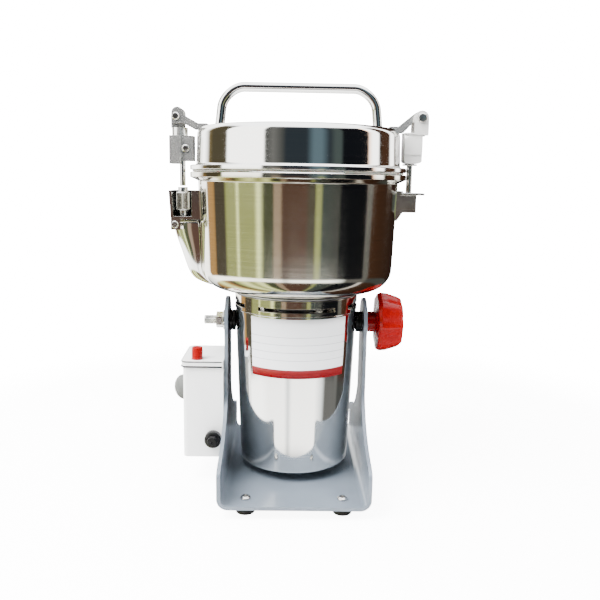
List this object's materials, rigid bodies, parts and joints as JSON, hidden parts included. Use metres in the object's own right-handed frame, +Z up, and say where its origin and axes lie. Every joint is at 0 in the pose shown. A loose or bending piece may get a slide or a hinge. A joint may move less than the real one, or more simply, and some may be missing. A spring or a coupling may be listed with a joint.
{
  "type": "electric spice grinder",
  "caption": "Tilting electric spice grinder: lidded steel grinding bowl over a motor can, carried between the arms of a painted sheet stand, with tilt lock knob, timer and side clamps.",
  "frame": {"origin": "on the floor under the middle of the motor axis", "axes": "+Z up along the motor and bowl axis; +X along the tilt pivot to the red lock knob; -Y is the front, towards which the bowl tips"},
  "size_m": [0.215, 0.181, 0.343],
  "materials": {
    "stand_paint": "gloss grey-blue paint",
    "box_paint": "pale gloss paint",
    "foot_rubber": "matt black",
    "gasket_rubber": "translucent white silicone",
    "fastener_steel": "plated",
    "clamp_steel": "polished",
    "mirror_steel": "mirror polished",
    "satin_steel": "fine brushed",
    "cast_alloy": "as cast",
    "motor_iron": "laminated and varnished",
    "copper": "bare copper bars",
    "carbon": "pressed carbon",
    "black_plastic": "moulded black",
    "grey_plastic": "moulded grey",
    "red_plastic": "glossy red"
  },
  "bodies": {
    "stand": {"stand_frame": "stand_paint", "foot_1": "foot_rubber", "foot_2": "foot_rubber", "foot_3": "foot_rubber", "foot_4": "foot_rubber", "foot_screw_1": "fastener_steel", "foot_screw_2": "fastener_steel", "foot_screw_3": "fastener_steel", "foot_screw_4": "fastener_steel", "control_box": "box_paint", "control_box_lid": "box_paint", "timer_switch": "black_plastic", "overload_breaker": "black_plastic", "fuse_holder": "black_plastic", "cord_gland": "black_plastic"},
    "timer_dial": {"timer_knob": "grey_plastic"},
    "reset_push": {"reset_button": "red_plastic"},
    "fuse_plug": {"fuse_cap": "black_plastic"},
    "swing": {"motor_can": "mirror_steel", "vent_collar": "satin_steel", "upper_end_frame": "cast_alloy", "lower_end_frame": "cast_alloy", "lower_bearing": "fastener_steel", "upper_bearing": "fastener_steel", "stator": "motor_iron", "brush_holder": "black_plastic", "carbon_brush_left": "carbon", "carbon_brush_right": "carbon", "bowl": "satin_steel", "shaft_seal": "foot_rubber", "pivot_bolt": "fastener_steel", "pivot_nut": "fastener_steel", "tilt_stud": "fastener_steel", "pivot_spacer_left": "black_plastic", "pivot_spacer_right": "black_plastic", "hinge_bracket": "clamp_steel", "hinge_rod": "fastener_steel", "hinge_post": "clamp_steel", "hinge_pin": "fastener_steel", "latch_cage": "clamp_steel", "lever_pin": "fastener_steel"},
    "lock_knob": {"tilt_knob": "red_plastic"},
    "rotor": {"motor_shaft": "fastener_steel", "armature": "motor_iron", "commutator": "copper", "cooling_fan": "black_plastic", "blade_lower": "satin_steel", "blade_upper": "satin_steel", "blade_spacer": "satin_steel", "blade_nut": "fastener_steel"},
    "lid_set": {"lid": "mirror_steel", "lid_gasket": "gasket_rubber", "lid_handle": "mirror_steel", "lid_hinge_arm": "clamp_steel", "latch_bracket": "clamp_steel", "latch_pin": "fastener_steel"},
    "clamp_link": {"latch_block": "clamp_steel", "latch_rod": "fastener_steel"},
    "clamp_nut": {"latch_nut": "fastener_steel"},
    "clamp_lever": {"latch_lever": "mirror_steel"}
  },
  "joints": [
    {"name": "tilt", "type": "hinge", "parent": "stand", "child": "swing", "pos_m": [0, 0, 0.142], "axis": [1, 0, 0], "range_deg": [0, 95]},
    {"name": "lock_turn", "type": "hinge", "parent": "swing", "child": "lock_knob", "pos_m": [0, 0, 0.142], "axis": [1, 0, 0], "range_deg": [0, 360]},
    {"name": "timer_turn", "type": "hinge", "parent": "stand", "child": "timer_dial", "pos_m": [-0.0963, 0.002, 0.08], "axis": [-1, 0, 0], "range_deg": [0, 300]},
    {"name": "reset_press", "type": "slide", "parent": "stand", "child": "reset_push", "axis": [0, 0, 1], "range_m": [-0.003, 0], "stiffness_N_per_m": 400},
    {"name": "fuse_turn", "type": "hinge", "parent": "stand", "child": "fuse_plug", "pos_m": [-0.07, -0.0256, 0.0425], "axis": [0, -1, 0], "range_deg": [0, 90]},
    {"name": "rotor_spin", "type": "hinge", "parent": "swing", "child": "rotor", "pos_m": [0, 0, 0.2], "axis": [0, 0, 1], "continuous": true},
    {"name": "lid_open", "type": "hinge", "parent": "swing", "child": "lid_set", "pos_m": [0.1015, 0, 0.316], "axis": [0, 1, 0], "range_deg": [0, 105]},
    {"name": "clamp_swing", "type": "hinge", "parent": "lid_set", "child": "clamp_link", "pos_m": [-0.1016, 0, 0.3139], "axis": [0, 1, 0], "range_deg": [0, 60]},
    {"name": "nut_turn", "type": "hinge", "parent": "swing", "child": "clamp_nut", "pos_m": [-0.0975, 0, 0.24], "axis": [0, 0, 1], "continuous": true},
    {"name": "lever_open", "type": "hinge", "parent": "swing", "child": "clamp_lever", "pos_m": [-0.1025, 0, 0.2254], "axis": [0, 1, 0], "range_deg": [0, 90]}
  ]
}
